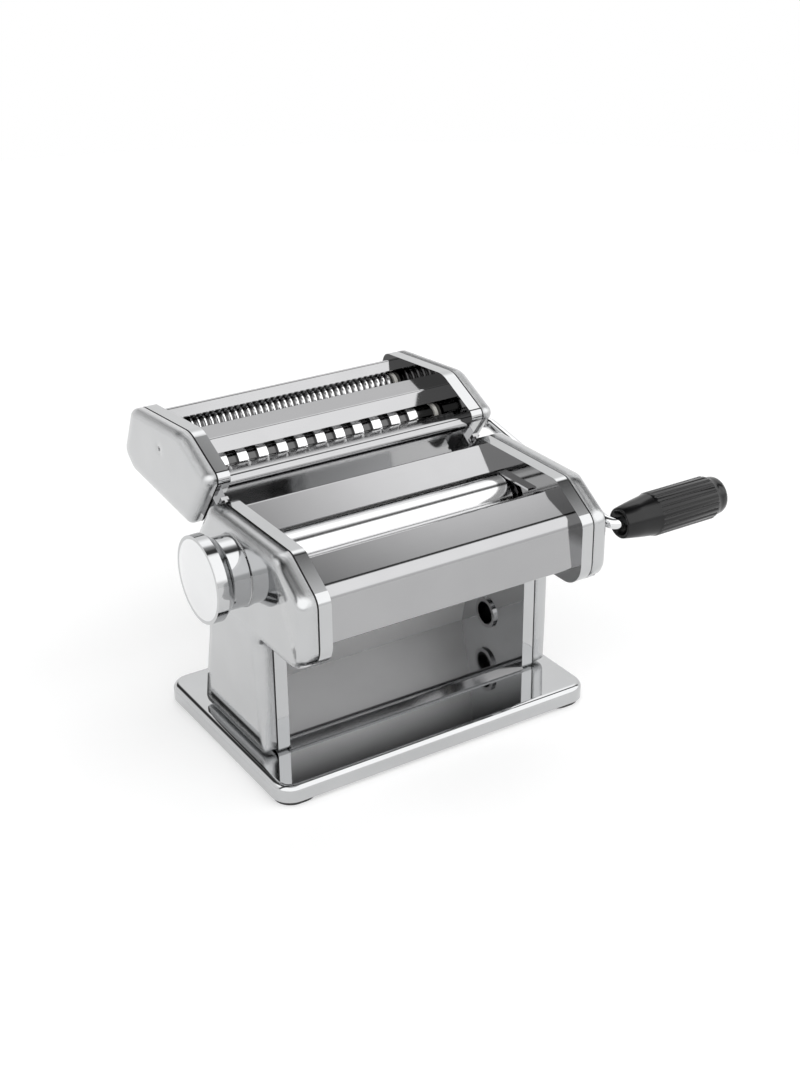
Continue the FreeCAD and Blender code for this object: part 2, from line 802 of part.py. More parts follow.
# Flanged bushes for the drive roller in both side plates.
bush_bore = shaft + size("run_clearance")
bush_barrel = bush_bore + size("bush_wall")
flange_radius = bush_barrel + size("bush_flange")
bush_profile = [(size("bush_inner"), bush_bore), (size("bush_inner"), flange_radius),
                (size("cheek_inside"), flange_radius), (size("cheek_inside"), bush_barrel),
                (size("bush_outer"), bush_barrel), (size("bush_outer"), bush_bore)]
right_bush = turned("DriveBushRight", bush_profile, DRIVE_Y, DRIVE_Z)
keep(grouped("DriveBushes", [right_bush, mirrored(right_bush, "DriveBushLeft")]), "drive_bushes")

# Adjusting roller: a tube that turns on floating sleeves round the eccentric axle.
neck_end = size("neck_end")
tube_bore = size("sleeve_radius") + size("run_clearance")
adjusting_profile = [(-half_length, tube_bore), (-half_length, size("roller_radius")),
                     (half_length, size("roller_radius")), (half_length, size("neck_radius")),
                     (neck_end, size("neck_radius")), (neck_end, tube_bore)]
keep(turned("AdjustingRoller", adjusting_profile, AXLE_Y, AXLE_Z), "adjusting_roller")
sleeve_right = tube("SleeveRight", "neck_end - sleeve_length", "sleeve_length", "sleeve_radius",
                    "axle_radius + run_clearance", AXLE_Y, AXLE_Z)
sleeve_left = tube("SleeveLeft", "0 - roller_half_length", "sleeve_length", "sleeve_radius",
                   "axle_radius + run_clearance", AXLE_Y, AXLE_Z)
keep(grouped("RollerSleeves", [sleeve_right, sleeve_left]), "roller_sleeves")

# Eccentric axle: journals on the knob axis, the middle on the roller axis.
axle_middle = rod("AxleMiddle", "axle_start", "axle_end - axle_start", "axle_radius", AXLE_Y, AXLE_Z)
axle_journal = rod("AxleJournal", "stub_start", "axle_start - stub_start", "axle_journal",
                   "knob_axis_y", "knob_axis_z")
axle_stub = rod("AxleStub", "stub_end", "stub_start - stub_end", "axle_radius", "knob_axis_y", "knob_axis_z")
axle_tail = rod("AxleTail", "axle_end", "tail_end - axle_end", "axle_tail", "knob_axis_y", "knob_axis_z")
axle = doc.addObject("Part::MultiFuse", "EccentricAxle")
axle.Shapes = [axle_middle, axle_journal, axle_stub, axle_tail]
keep(axle, "eccentric_axle")
keep(rod("AxleWasher", "stub_end - washer_gauge", "washer_gauge", "washer_radius",
         "knob_axis_y", "knob_axis_z"), "axle_washer")

# Index hub: carries the axle in the left side plate and guides the knob's pin in an arc slot.
journal_bore = size("axle_journal") + size("run_clearance")
hub_profile = [(size("hub_flange_outer"), journal_bore), (size("hub_flange_outer"), size("hub_flange")),
               (size("hub_flange_inner"), size("hub_flange")), (size("hub_flange_inner"), size("hub_radius")),
               (size("hub_start"), size("hub_radius")), (size("hub_start"), journal_bore)]
hub = turned("IndexHub", hub_profile, "knob_axis_y", "knob_axis_z")
slot_half = size("pin_radius") + size("pin_slot_gap")
slot_start = math.radians(size("pin_rest_angle") - size("regulator_turn"))
slot_end = math.radians(size("pin_rest_angle"))


def around(angle, radius):
    """A point on a circle about the knob axis, in the hub's own sketch."""
    return Vector(radius * math.cos(angle), radius * math.sin(angle), 0)


slot_sketch = outline_sketch(hub, "PinSlot", "YZ_Plane", "hub_flange_outer")
slot_middle = (slot_start + slot_end) / 2
slot_inner = size("pin_circle") - slot_half
slot_outer = size("pin_circle") + slot_half
round_angle = slot_half / size("pin_circle")
slot_sketch.addGeometry([
    Part.Arc(around(slot_start, slot_inner), around(slot_middle, slot_inner), around(slot_end, slot_inner)),
    Part.Arc(around(slot_end, slot_inner), around(slot_end + round_angle, size("pin_circle")),
             around(slot_end, slot_outer)),
    Part.Arc(around(slot_end, slot_outer), around(slot_middle, slot_outer), around(slot_start, slot_outer)),
    Part.Arc(around(slot_start, slot_outer), around(slot_start - round_angle, size("pin_circle")),
             around(slot_start, slot_inner))], False)
pocket(hub, slot_sketch, "hub_flange_inner - hub_flange_outer", along_normal=True)
keep(hub, "index_hub")

# Knob: a hollow shell on the axle stub, with a domed face and a pin that rides in the hub's slot.
knob_inside = size("knob_skirt") - size("knob_wall")
stub_bore = size("axle_radius") + size("run_clearance")
face_seat = size("knob_rim") - size("knob_lip")
knob_points = [(size("knob_hub_start"), stub_bore), (size("knob_hub_start"), size("knob_hub")),
               (size("knob_web_start"), size("knob_hub")), (size("knob_web_start"), knob_inside),
               (size("knob_base"), knob_inside), (size("knob_base"), size("knob_skirt")),
               (size("knob_skirt_end"), size("knob_skirt")), (size("knob_rim_start"), size("knob_rim")),
               (size("knob_rim_end"), size("knob_rim")), (size("knob_rim_end"), face_seat),
               (size("knob_face_back"), face_seat), (size("knob_face_back"), knob_inside),
               (size("knob_web_end"), knob_inside), (size("knob_web_end"), stub_bore)]
keep(turned("Knob", [(-out, radius) for out, radius in knob_points], "knob_axis_y", "knob_axis_z"), "knob")
dome_steps = 4
dome_points = [(size("knob_face_back"), 0), (size("knob_face_back"), face_seat)]
for step in range(dome_steps + 1):
    share = 1 - step / dome_steps
    dome_points.append((size("knob_rim_end") + size("knob_dome") * (1 - share ** 2), face_seat * share))
keep(turned("KnobFace", [(-out, radius) for out, radius in dome_points], "knob_axis_y", "knob_axis_z"),
     "knob_face")
pin_angle = math.radians(size("pin_rest_angle"))
pin_y = f"knob_axis_y + pin_circle * {math.cos(pin_angle)}"
pin_z = f"knob_axis_z + pin_circle * {math.sin(pin_angle)}"
keep(rod("IndexPin", "0 - knob_web_start", "pin_tip + knob_web_start", "pin_radius", pin_y, pin_z),
     "index_pin")


def gear_corners(teeth, tip, root, tip_share, root_share, phase):
    """Straight-flanked teeth as corners about the origin; shares are parts of one tooth pitch."""
    pitch = 2 * math.pi / teeth
    corners = []
    for tooth in range(int(teeth)):
        middle = phase + tooth * pitch
        for radius, share in ((root, -root_share), (tip, -tip_share), (tip, tip_share), (root, root_share)):
            angle = middle + share * pitch / 2
            corners.append((radius * math.cos(angle), radius * math.sin(angle), 0))
    return corners


def gear(name, kind, phase, start, width, bore, y, z):
    """A spur gear with a plain bore on an X axis at (y, z)."""
    teeth, tip, root, tip_share, root_share = kind
    corners = gear_corners(teeth, tip, root, tip_share, root_share, phase)
    body = across(name, [corners], start, width, [(0, 0, bore)])
    bind(body, "Placement.Base.y", y)
    bind(body, "Placement.Base.z", z)
    return body


# Long-toothed gears that stay in mesh while the roller gap changes.
long_gear = (size("gear_teeth"), size("gear_tip"), size("gear_root"), size("gear_tip_share"),
             size("gear_root_share"))
half_pitch = math.pi / size("gear_teeth")
keep(gear("DriveGear", long_gear, 0, "gear_start", "gear_width", "drive_shaft", DRIVE_Y, DRIVE_Z),
     "drive_gear")
keep(gear("AdjustingGear", long_gear, math.pi + half_pitch, "gear_start", "gear_width", "neck_radius",
          AXLE_Y, AXLE_Z), "adjusting_gear")

# Gear plate on three posts: it holds the axle's right-hand tail.
knob_spot = (knob_y, knob_z)
post_spots = [near(knob_spot, "-post_front", "-post_fall"), (knob_y + size("post_back"), knob_z, 0),
              near(knob_spot, "-post_front", "post_rise")]
post_margin = size("post_margin")
plate_outline = [(y, z, post_margin) for y, z, _ in inset(post_spots, -post_margin)]
keep(across("GearPlate", [plate_outline], "gear_plate_start", "gear_plate_gauge",
            [(knob_y, knob_z, "axle_tail + run_clearance")]), "gear_plate")
posts = []
for post_number, (post_y, post_z, _) in enumerate(post_spots, 1):
    posts.append(rod(f"GearPost{post_number}", "cheek_inside + cheek_gauge",
                     "gear_plate_start - cheek_inside - cheek_gauge", "post_radius",
                     str(post_y), str(post_z)))
keep(grouped("GearPosts", posts), "gear_plate_posts")

# Rails on the rear slope of the head, and the cutter's hooks that slide down over them.
# The slope frame has X across, Y straight out of the slope and Z up along it.
slope = math.atan2(size("slope_run"), size("slope_fall"))
rear_plane = size("head_top_back") * math.cos(slope) + size("head_top") * math.sin(slope)
cutter_plane = rear_plane + size("cutter_gap")
rail_mid = size("rail_centre")


def slope_bar(name, corners, low, length):
    """A bar along the rear slope with its section given in the slope frame."""
    body = new_body(name)
    pad(body, outline_sketch(body, name + "Section", "XY_Plane", low, [corners]), length)
    body.Placement = Placement(Vector(), Rotation(Vector(1, 0, 0), math.degrees(slope)))
    return body


web_half = size("rail_web") / 2
head_half = size("rail_head") / 2
web_top = rear_plane + size("rail_web_rise")
rail_top = web_top + size("rail_head_rise")
rail_section = [(rail_mid - web_half, rear_plane, 0), (rail_mid + web_half, rear_plane, 0),
                (rail_mid + web_half, web_top, 0), (rail_mid + head_half, web_top, 0),
                (rail_mid + head_half, rail_top, 0), (rail_mid - head_half, rail_top, 0),
                (rail_mid - head_half, web_top, 0), (rail_mid - web_half, web_top, 0)]
slope_top = size("head_top") * math.cos(slope) - size("head_top_back") * math.sin(slope)
rail_right = slope_bar("RailRight", rail_section, f"{slope_top} - rail_low - rail_start", "rail_length")
keep(grouped("CutterRails", [rail_right, mirrored(rail_right, "RailLeft")]), "cutter_rails")
gap = size("hook_gap")
hook_half = size("hook_width") / 2
lip_low = web_top - gap - size("hook_lip")
hook_section = [(rail_mid - hook_half, lip_low, 0), (rail_mid - web_half - gap, lip_low, 0),
                (rail_mid - web_half - gap, web_top - gap, 0), (rail_mid - head_half - gap, web_top - gap, 0),
                (rail_mid - head_half - gap, rail_top + gap, 0),
                (rail_mid + head_half + gap, rail_top + gap, 0),
                (rail_mid + head_half + gap, web_top - gap, 0), (rail_mid + web_half + gap, web_top - gap, 0),
                (rail_mid + web_half + gap, lip_low, 0), (rail_mid + hook_half, lip_low, 0),
                (rail_mid + hook_half, cutter_plane, 0), (rail_mid - hook_half, cutter_plane, 0)]
hook_right = slope_bar("HookRight", hook_section, f"{slope_top} - rail_low - hook_start", "hook_length")
keep(grouped("CutterHooks", [hook_right, mirrored(hook_right, "HookLeft")]), "cutter_hooks")

# Cutter head: cheeks, seals and caps follow one outline.
cutter_corner = (size("corner_y"), size("corner_z"))
low_front = (cutter_corner[0] + size("cutter_face") * math.sin(slope),
             cutter_corner[1] - size("cutter_face") * math.cos(slope), size("cutter_low_round"))
low_back = near(low_front, "cutter_under", "cutter_under_rise", "cutter_back_round")
heel = near(low_back, "cutter_heel", "cutter_heel_rise", "cutter_heel_round")
high_back = near(heel, "-cutter_back_lean", "cutter_back_rise", "cutter_heel_round")
high_front = near(high_back, "-cutter_top", "cutter_top_rise", "cutter_crown_round")
cutter_outline = [low_front, low_back, heel, high_back, high_front,
                  (*cutter_corner, size("cutter_corner_round"))]
tilt = math.radians(size("pair_tilt"))
wide_drive_at = ("wide_y", "wide_z")
wide_idler_at = (f"wide_y + wide_distance * {math.cos(tilt)}", f"wide_z + wide_distance * {math.sin(tilt)}")
narrow_drive_at = ("narrow_y", "narrow_z")
narrow_idler_at = (f"narrow_y + narrow_distance * {math.cos(tilt)}",
                   f"narrow_z + narrow_distance * {math.sin(tilt)}")
wide_spot = (size("wide_y"), size("wide_z"))
narrow_spot = (size("narrow_y"), size("narrow_z"))


def mate_spot(spot, distance):
    """The axis of a drive roller's mate."""
    return spot[0] + distance * math.cos(tilt), spot[1] + distance * math.sin(tilt)


wide_mate = mate_spot(wide_spot, size("wide_distance"))
narrow_mate = mate_spot(narrow_spot, size("narrow_distance"))
shaft_spots = [wide_spot, wide_mate, narrow_spot, narrow_mate]
bush_holes = [(y, z, "cutter_bush") for y, z in shaft_spots]
cutter_cheek = cheek("CutterRightCheek", cutter_outline, bush_holes)
keep(cutter_cheek, "cutter_right_cheek")
keep(mirrored(cutter_cheek, "CutterLeftCheek"), "cutter_left_cheek")
cutter_seal = seal("CutterRightSeal", cutter_outline)
keep(cutter_seal, "cutter_right_seal")
keep(mirrored(cutter_seal, "CutterLeftSeal"), "cutter_left_seal")
cap_holes = [(*wide_spot, "cutter_shaft + cover_hub_gap"), (*narrow_spot, "cutter_shaft + cover_hub_gap")]
keep(shell("CutterRightCap", cutter_outline, "cap_depth", "cap_edge_round", "0", None, cap_holes),
     "cutter_right_cap")
cap_hole_spot = near(cutter_corner, "cap_hole_back", "-cap_hole_drop")[:2]
keep(mirrored(shell("CutterLeftCapHalf", cutter_outline, "cap_depth", "cap_edge_round", "0", None,
                    [(*cap_hole_spot, "cap_hole")]), "CutterLeftCap"), "cutter_left_cap")

# Guide plates of the cutter, each drawn along its seen face from the roller axes it serves.
rear_guide_face = [near(narrow_mate, "-rear_guide_lip_in", "rear_guide_lip_rise"),
                   near(narrow_mate, "rear_guide_top_out", "rear_guide_top_rise", "guide_bend"),
                   near(narrow_mate, "rear_guide_heel_out", "-rear_guide_heel_drop", "rear_guide_heel_round"),
                   near(narrow_mate, "rear_guide_end_out", "-rear_guide_end_drop")]
keep(panel("CutterRearPanel", rear_guide_face), "cutter_rear_panel")
middle_bar_face = [near(wide_mate, "-bar_front_in", "bar_front_rise"),
                   near(wide_mate, "-bar_crest_in", "bar_crest_rise", "guide_bend"),
                   near(narrow_spot, "-bar_rear_in", "bar_rear_rise", "guide_bend"),
                   near(narrow_spot, "-bar_end_in", "bar_end_rise")]
keep(panel("CutterMiddleBar", middle_bar_face), "cutter_middle_bar")
front_guide_face = [near(wide_spot, "-guide_low_in", "-guide_low_drop"),
                    near(cutter_corner, "guide_lip_set", "guide_lip_set", "guide_lip_round"),
                    near(wide_spot, "-guide_high_in", "guide_high_rise")]
keep(panel("CutterFrontPanel", front_guide_face), "cutter_front_panel")

# Stripper strips under the cutter rollers.
strippers = []
for strip_number, axis_spot in enumerate((wide_spot, narrow_spot), 1):
    strip_face = [near(axis_spot, "stripper_low_back", "-stripper_low_drop"),
                  near(axis_spot, "stripper_high_back", "-stripper_high_drop")]
    strippers.append(panel(f"Stripper{strip_number}", strip_face))
keep(grouped("CutterStrippers", strippers), "cutter_strippers")

# Bearing bushes of the cutter rollers.
bushes = []
roller_axes = (wide_drive_at, wide_idler_at, narrow_drive_at, narrow_idler_at)
for bush_number, (spot_y, spot_z) in enumerate(roller_axes, 1):
    length = "cutter_bush_outer - cutter_bush_inner"
    bushes.append(tube(f"CutterBushRight{bush_number}", "cutter_bush_inner", length, "cutter_bush",
                       "cutter_shaft + run_clearance", spot_y, spot_z))
    bushes.append(tube(f"CutterBushLeft{bush_number}", "0 - cutter_bush_outer", length, "cutter_bush",
                       "cutter_far_shaft + run_clearance", spot_y, spot_z))
keep(grouped("CutterBushes", bushes), "cutter_bushes")


def ring_wire(x, radius):
    """One flat-sided section across a cutter roller."""
    sides = int(size("ring_sides"))
    angles = [2 * math.pi * side / sides for side in range(sides)]
    points = [Vector(x, radius * math.cos(angle), radius * math.sin(angle)) for angle in angles]
    return Part.makePolygon(points + points[:1])


def ringed_core(stations):
    """A solid through flat-sided sections; square steps are closed by flat rings."""
    wires = [ring_wire(x, radius) for x, radius in stations]
    return Part.makeLoft(wires, True, True)


def wide_stations(shift):
    """Square cutting rings along the roller, as (x, radius) stations."""
    half = size("cutter_half_length")
    low, high = size("ring_groove"), size("ring_outer")
    period, width = size("ring_period"), size("ring_width")
    stations = [(-half, low)]
    for ring in range(int(size("ring_count"))):
        middle = (ring - (size("ring_count") - 1) / 2) * period + shift
        if abs(middle) + width / 2 < half - 0.5:
            stations += [(middle - width / 2 - 0.02, low), (middle - width / 2 + 0.02, high),
                         (middle + width / 2 - 0.02, high), (middle + width / 2 + 0.02, low)]
    return stations + [(half, low)]


def narrow_stations(shift):
    """Sharp cutting rings along the roller, as (x, radius) stations."""
    half = size("cutter_half_length")
    low, high = size("fine_groove"), size("fine_outer")
    stations = [(-half, low)]
    for ring in range(int(size("fine_count"))):
        middle = (ring - (size("fine_count") - 1) / 2) * size("fine_period") + shift
        if abs(middle) + size("fine_period") / 2 <= half:
            stations += [(middle - size("fine_period") / 2, low), (middle, high)]
            last = middle + size("fine_period") / 2
    return stations + [(last, low), (half, low)]


def cutter_roller(name, stations, spot, shaft_end, socket):
    """A ringed roller with its shafts; a driven one has a crank socket in its right-hand end."""
    clean = []
    for station in stations:
        if not clean or station[0] - clean[-1][0] > 0.01:
            clean.append(station)
    half = size("cutter_half_length")
    right = Part.makeCylinder(size("cutter_shaft"), shaft_end - half, Vector(half, 0, 0), Vector(1, 0, 0))
    left = Part.makeCylinder(size("cutter_far_shaft"), size("far_shaft_end") - half, Vector(-half, 0, 0),
                             Vector(-1, 0, 0))
    solid = ringed_core(clean).fuse([right, left])
    if socket:
        solid = solid.cut(Part.makeCylinder(size("socket_bore"), size("socket_depth"),
                                            Vector(shaft_end - size("socket_depth"), 0, 0), Vector(1, 0, 0)))
    item = doc.addObject("Part::Feature", name)
    item.Shape = solid
    bind(item, "Placement.Base.y", spot[0])
    bind(item, "Placement.Base.z", spot[1])
    return item


# Cutter rollers in two meshing pairs; the mates are shifted so that rings run in grooves.
end_drive, end_idler = size("cutter_shaft_end"), size("idler_shaft_end")
wide_shift, narrow_shift = size("ring_period") / 4, size("fine_period") / 4
keep(cutter_roller("WideDriveRoller", wide_stations(-wide_shift), wide_drive_at, end_drive, True),
     "wide_drive_roller")
keep(cutter_roller("WideIdlerRoller", wide_stations(wide_shift), wide_idler_at, end_idler, False),
     "wide_idler_roller")
keep(cutter_roller("NarrowDriveRoller", narrow_stations(-narrow_shift), narrow_drive_at, end_drive, True),
     "narrow_drive_roller")
keep(cutter_roller("NarrowIdlerRoller", narrow_stations(narrow_shift), narrow_idler_at, end_idler, False),
     "narrow_idler_roller")
mate_phase = tilt + math.pi + math.pi / size("cutter_gear_teeth")
for gear_name, phase, spot, distance, label in (
        ("WideDriveGear", tilt, wide_drive_at, "wide_distance", "wide_drive_gear"),
        ("WideIdlerGear", mate_phase, wide_idler_at, "wide_distance", "wide_idler_gear"),
        ("NarrowDriveGear", tilt, narrow_drive_at, "narrow_distance", "narrow_drive_gear"),
        ("NarrowIdlerGear", mate_phase, narrow_idler_at, "narrow_distance", "narrow_idler_gear")):
    pitch_radius = size(distance) / 2
    short_gear = (size("cutter_gear_teeth"), pitch_radius + size("tooth_out"),
                  pitch_radius - size("tooth_in"), size("cutter_tip_share"), size("cutter_root_share"))
    keep(gear(gear_name, short_gear, phase, "cutter_gear_start", "cutter_gear_width", "cutter_shaft",
              *spot), label)

# Crank: a bent round rod from the wide cutter's socket to the grip.
bend = size("crank_bend")
arm_x = size("crank_arm_x")
tip_point = Vector(size("crank_tip"), *wide_spot)
elbow = Vector(arm_x, *wide_spot)
wrist = Vector(arm_x, size("grip_y"), size("grip_z"))
end_point = Vector(size("grip_spindle_end"), size("grip_y"), size("grip_z"))
arm_way = (wrist - elbow).normalize()
x_way = Vector(1, 0, 0)


def square_bend(corner, way_in, way_out):
    """The start, middle and end of a right-angle bend at a corner."""
    centre = corner - way_in * bend + way_out * bend
    start = corner - way_in * bend
    end = corner + way_out * bend
    middle = centre + ((start - centre) + (end - centre)).normalize() * bend
    return start, middle, end


first_bend = square_bend(elbow, x_way, arm_way)
second_bend = square_bend(wrist, arm_way, x_way)
crank_path = Part.Wire([Part.makeLine(tip_point, first_bend[0]), Part.Arc(*first_bend).toShape(),
                        Part.makeLine(first_bend[2], second_bend[0]), Part.Arc(*second_bend).toShape(),
                        Part.makeLine(second_bend[2], end_point)])
crank_section = Part.Wire([Part.makeCircle(size("crank_rod"), tip_point, x_way)])
crank = doc.addObject("Part::Feature", "CrankRod")
crank.Shape = crank_path.makePipeShell([crank_section], True, False)
keep(crank, "crank_rod")

# Grip: a turned plastic handle that spins on the crank's end.
grip_bore = size("crank_rod") + size("run_clearance")
spindle_floor = size("grip_spindle_end") + size("grip_spindle_gap")
mouth_floor = size("grip_mouth_x") + size("grip_mouth_depth")
grip_profile = [(size("grip_mouth_x"), size("grip_mouth_bore")), (size("grip_mouth_x"), size("grip_mouth")),
                (size("grip_shoulder_x"), size("grip_shoulder")),
                (size("grip_shoulder_x") + 0.6, size("grip_body")),
                (size("grip_body_end"), size("grip_body")),
                (size("grip_body_end") + 1, size("grip_end_radius") + 0.8),
                (size("grip_end") - size("grip_end_round"), size("grip_end_radius")),
                (size("grip_end"), size("grip_end_radius") - size("grip_end_round")), (size("grip_end"), 0),
                (spindle_floor, 0), (spindle_floor, grip_bore), (mouth_floor, grip_bore),
                (mouth_floor, size("grip_mouth_bore"))]
keep(turned("CrankGrip", grip_profile, "grip_y", "grip_z"), "crank_grip")

doc.recompute()
os.makedirs("parts", exist_ok=True)
for label, item in nodes.items():
    trouble = [state for state in item.State if state in ("Invalid", "Error")]
    if trouble or item.Shape.isNull() or not item.Shape.isValid():
        raise RuntimeError(f"{label} did not build: {item.State}")
    item.Shape.exportStep(f"parts/{label}.step")
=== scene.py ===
import math

import bpy
import numpy as np
from mathutils import Matrix, Vector


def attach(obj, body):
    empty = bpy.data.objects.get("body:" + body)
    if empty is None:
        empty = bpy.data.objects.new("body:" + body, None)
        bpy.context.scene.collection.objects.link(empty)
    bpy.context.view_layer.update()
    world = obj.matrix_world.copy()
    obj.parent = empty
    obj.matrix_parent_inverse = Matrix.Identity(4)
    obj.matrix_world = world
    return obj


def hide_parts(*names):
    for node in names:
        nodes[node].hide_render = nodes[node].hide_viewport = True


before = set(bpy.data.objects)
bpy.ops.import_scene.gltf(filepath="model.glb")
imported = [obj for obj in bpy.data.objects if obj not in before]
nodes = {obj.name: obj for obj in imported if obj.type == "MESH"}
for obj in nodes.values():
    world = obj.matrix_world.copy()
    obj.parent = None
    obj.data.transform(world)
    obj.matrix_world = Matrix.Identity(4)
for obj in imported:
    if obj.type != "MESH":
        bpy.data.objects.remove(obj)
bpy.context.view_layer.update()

# Camera: a three-quarter view from the front left, looking down on the machine.
# Its place, angles and lens are fitted so that the render lies on the photograph.
camera_place = Vector((-0.4402, -0.7248, 0.5161))
camera_yaw, camera_pitch, camera_roll = (math.radians(angle) for angle in (32.27, -25.92, 0.54))
camera_data = bpy.data.cameras.new("camera")
camera_data.sensor_width = 36.0
camera_data.lens = 53.29
camera_data.clip_start = 0.05
camera_data.clip_end = 20.0
camera = bpy.data.objects.new("camera", camera_data)
ahead = Vector((math.sin(camera_yaw) * math.cos(camera_pitch),
                math.cos(camera_yaw) * math.cos(camera_pitch), math.sin(camera_pitch)))
side = Vector((math.cos(camera_yaw), -math.sin(camera_yaw), 0.0))
upward = side.cross(ahead)
turned_side = side * math.cos(camera_roll) - upward * math.sin(camera_roll)
turned_up = side * math.sin(camera_roll) + upward * math.cos(camera_roll)
camera.matrix_world = Matrix(((turned_side.x, turned_up.x, -ahead.x, camera_place.x),
                              (turned_side.y, turned_up.y, -ahead.y, camera_place.y),
                              (turned_side.z, turned_up.z, -ahead.z, camera_place.z),
                              (0, 0, 0, 1)))
bpy.context.scene.collection.objects.link(camera)
bpy.context.scene.camera = camera
bpy.context.scene.view_settings.view_transform = "Standard"

# Studio: one room for every ray, white all round below and near the horizon.
# Higher up are a soft box at the front and a lit screen with a dark strip at the back, and a dark
# gap between the two, because bright plate needs both light and dark to mirror.
box_strength = 1.8
backdrop = 1 / box_strength
gap_edge, front_edge, strip_edge = (0.19, 0.04), (-0.065, -0.15), (0.30, 0.40)
front_stops = ((-1.0, backdrop), (0.10, backdrop), (0.22, 1.0), (0.90, 1.0), (0.95, 0.30), (1.0, 0.10))
back_stops = ((-1.0, backdrop), (0.30, backdrop), (0.585, 0.62), (0.74, 1.0), (0.85, 0.95),
              (0.90, 0.20), (1.0, 0.12))
gap_stops = ((-1.0, backdrop), (0.30, backdrop), (0.42, 0.04), (1.0, 0.04))
strip_stops = ((-1.0, 1.0), (-0.50, 1.0), (-0.36, 0.04), (-0.02, 0.04), (0.20, 1.0), (1.0, 1.0))
world = bpy.data.worlds.new("studio")
bpy.context.scene.world = world
world.use_nodes = True
sky = world.node_tree
sky.nodes.clear()


def add_node(tree, kind, place, **values):
    """Add a shader node and set its named properties and input sockets."""
    node = tree.nodes.new(kind)
    node.location = (place[0] * 220, -place[1] * 180)
    for key, value in values.items():
        if hasattr(node, key):
            setattr(node, key, value)
        else:
            node.inputs[key.replace("_", " ")].default_value = value
    return node


def split_source(tree, place, kind, output):
    """The X, Y and Z sockets of a vector that a source node gives."""
    source = add_node(tree, kind, place)
    parts = add_node(tree, "ShaderNodeSeparateXYZ", (place[0] + 1, place[1]))
    tree.links.new(source.outputs[output], parts.inputs[0])
    return parts.outputs


def share_between(tree, place, value, start, end, **values):
    """A share that is 0 where the value is at the start, 1 where it is at the end, and held beyond."""
    node = add_node(tree, "ShaderNodeMapRange", place, From_Min=start, From_Max=end, **values)
    tree.links.new(value, node.inputs["Value"])
    return node.outputs["Result"]


def grey_ramp(row, along, stops):
    """A grey over one part of the direction, from -1 to 1, with straight runs between the stops."""
    ramp = add_node(sky, "ShaderNodeValToRGB", (3, row))
    marks = ramp.color_ramp.elements
    while len(marks) > 1:
        marks.remove(marks[0])
    for index, (part, grey) in enumerate(stops):
        share = part / 2 + 0.5
        mark = marks[0] if index == 0 else marks.new(share)
        mark.position = share
        mark.color = (grey, grey, grey, 1)
    sky.links.new(share_between(sky, (2, row), along, -1, 1), ramp.inputs["Fac"])
    return ramp.outputs["Color"]


def blend(place, share, first, second, **values):
    """The first grey where the share is 0 and the second, or their product, where it is 1."""
    node = add_node(sky, "ShaderNodeMix", place, data_type="RGBA", **values)
    sky.links.new(share, node.inputs["Factor"])
    sky.links.new(first, node.inputs["A"])
    sky.links.new(second, node.inputs["B"])
    return node.outputs["Result"]


towards = split_source(sky, (0, 0), "ShaderNodeTexCoord", "Generated")
front_share = share_between(sky, (2, 4), towards["Y"], *front_edge, interpolation_type="SMOOTHSTEP")
gap_share = share_between(sky, (2, 5), towards["Y"], *gap_edge, interpolation_type="SMOOTHSTEP")
strip_share = share_between(sky, (2, 6), towards["Z"], *strip_edge)
front_box = grey_ramp(0, towards["Z"], front_stops)
back_screen = grey_ramp(1, towards["Z"], back_stops)
dark_gap = grey_ramp(2, towards["Z"], gap_stops)
dark_strip = grey_ramp(3, towards["X"], strip_stops)
striped_screen = blend((4, 2), strip_share, back_screen, dark_strip, blend_type="MULTIPLY")
rear_half = blend((4, 1), gap_share, striped_screen, dark_gap)
whole_room = blend((4, 0), front_share, rear_half, front_box)
studio_light = add_node(sky, "ShaderNodeBackground", (5, 0), Strength=box_strength)
sky.links.new(whole_room, studio_light.inputs["Color"])
sky_out = add_node(sky, "ShaderNodeOutputWorld", (6, 0))
sky.links.new(studio_light.outputs[0], sky_out.inputs[0])

# Floor: a plain pale round sheet just under the feet, the same to every ray.
# It glows a little and takes the studio's light for the rest, so it keeps the machine's shadow.
floor_radius, floor_sides, floor_level = 1.6, 64, -0.0002
floor_glow, floor_grey = 0.40, 0.65
floor_points = [(floor_radius * math.cos(angle), floor_radius * math.sin(angle), floor_level)
                for angle in np.linspace(0, 2 * math.pi, floor_sides, endpoint=False)]
floor_mesh = bpy.data.meshes.new("floor")
floor_mesh.from_pydata(floor_points, [], [tuple(range(floor_sides))])
floor = bpy.data.objects.new("floor", floor_mesh)
bpy.context.scene.collection.objects.link(floor)
floor_look = bpy.data.materials.new("floor")
floor_look.use_nodes = True
ground = floor_look.node_tree
ground.nodes.clear()
ground_glow = add_node(ground, "ShaderNodeEmission", (1, 0), Color=(1, 1, 1, 1), Strength=floor_glow)
ground_lit = add_node(ground, "ShaderNodeBsdfDiffuse", (1, 1), Color=(floor_grey, floor_grey, floor_grey, 1))
ground_pale = add_node(ground, "ShaderNodeAddShader", (2, 0))
ground.links.new(ground_glow.outputs[0], ground_pale.inputs[0])
ground.links.new(ground_lit.outputs[0], ground_pale.inputs[1])
ground_out = add_node(ground, "ShaderNodeOutputMaterial", (3, 0))
ground.links.new(ground_pale.outputs[0], ground_out.inputs[0])
floor_mesh.materials.append(floor_look)

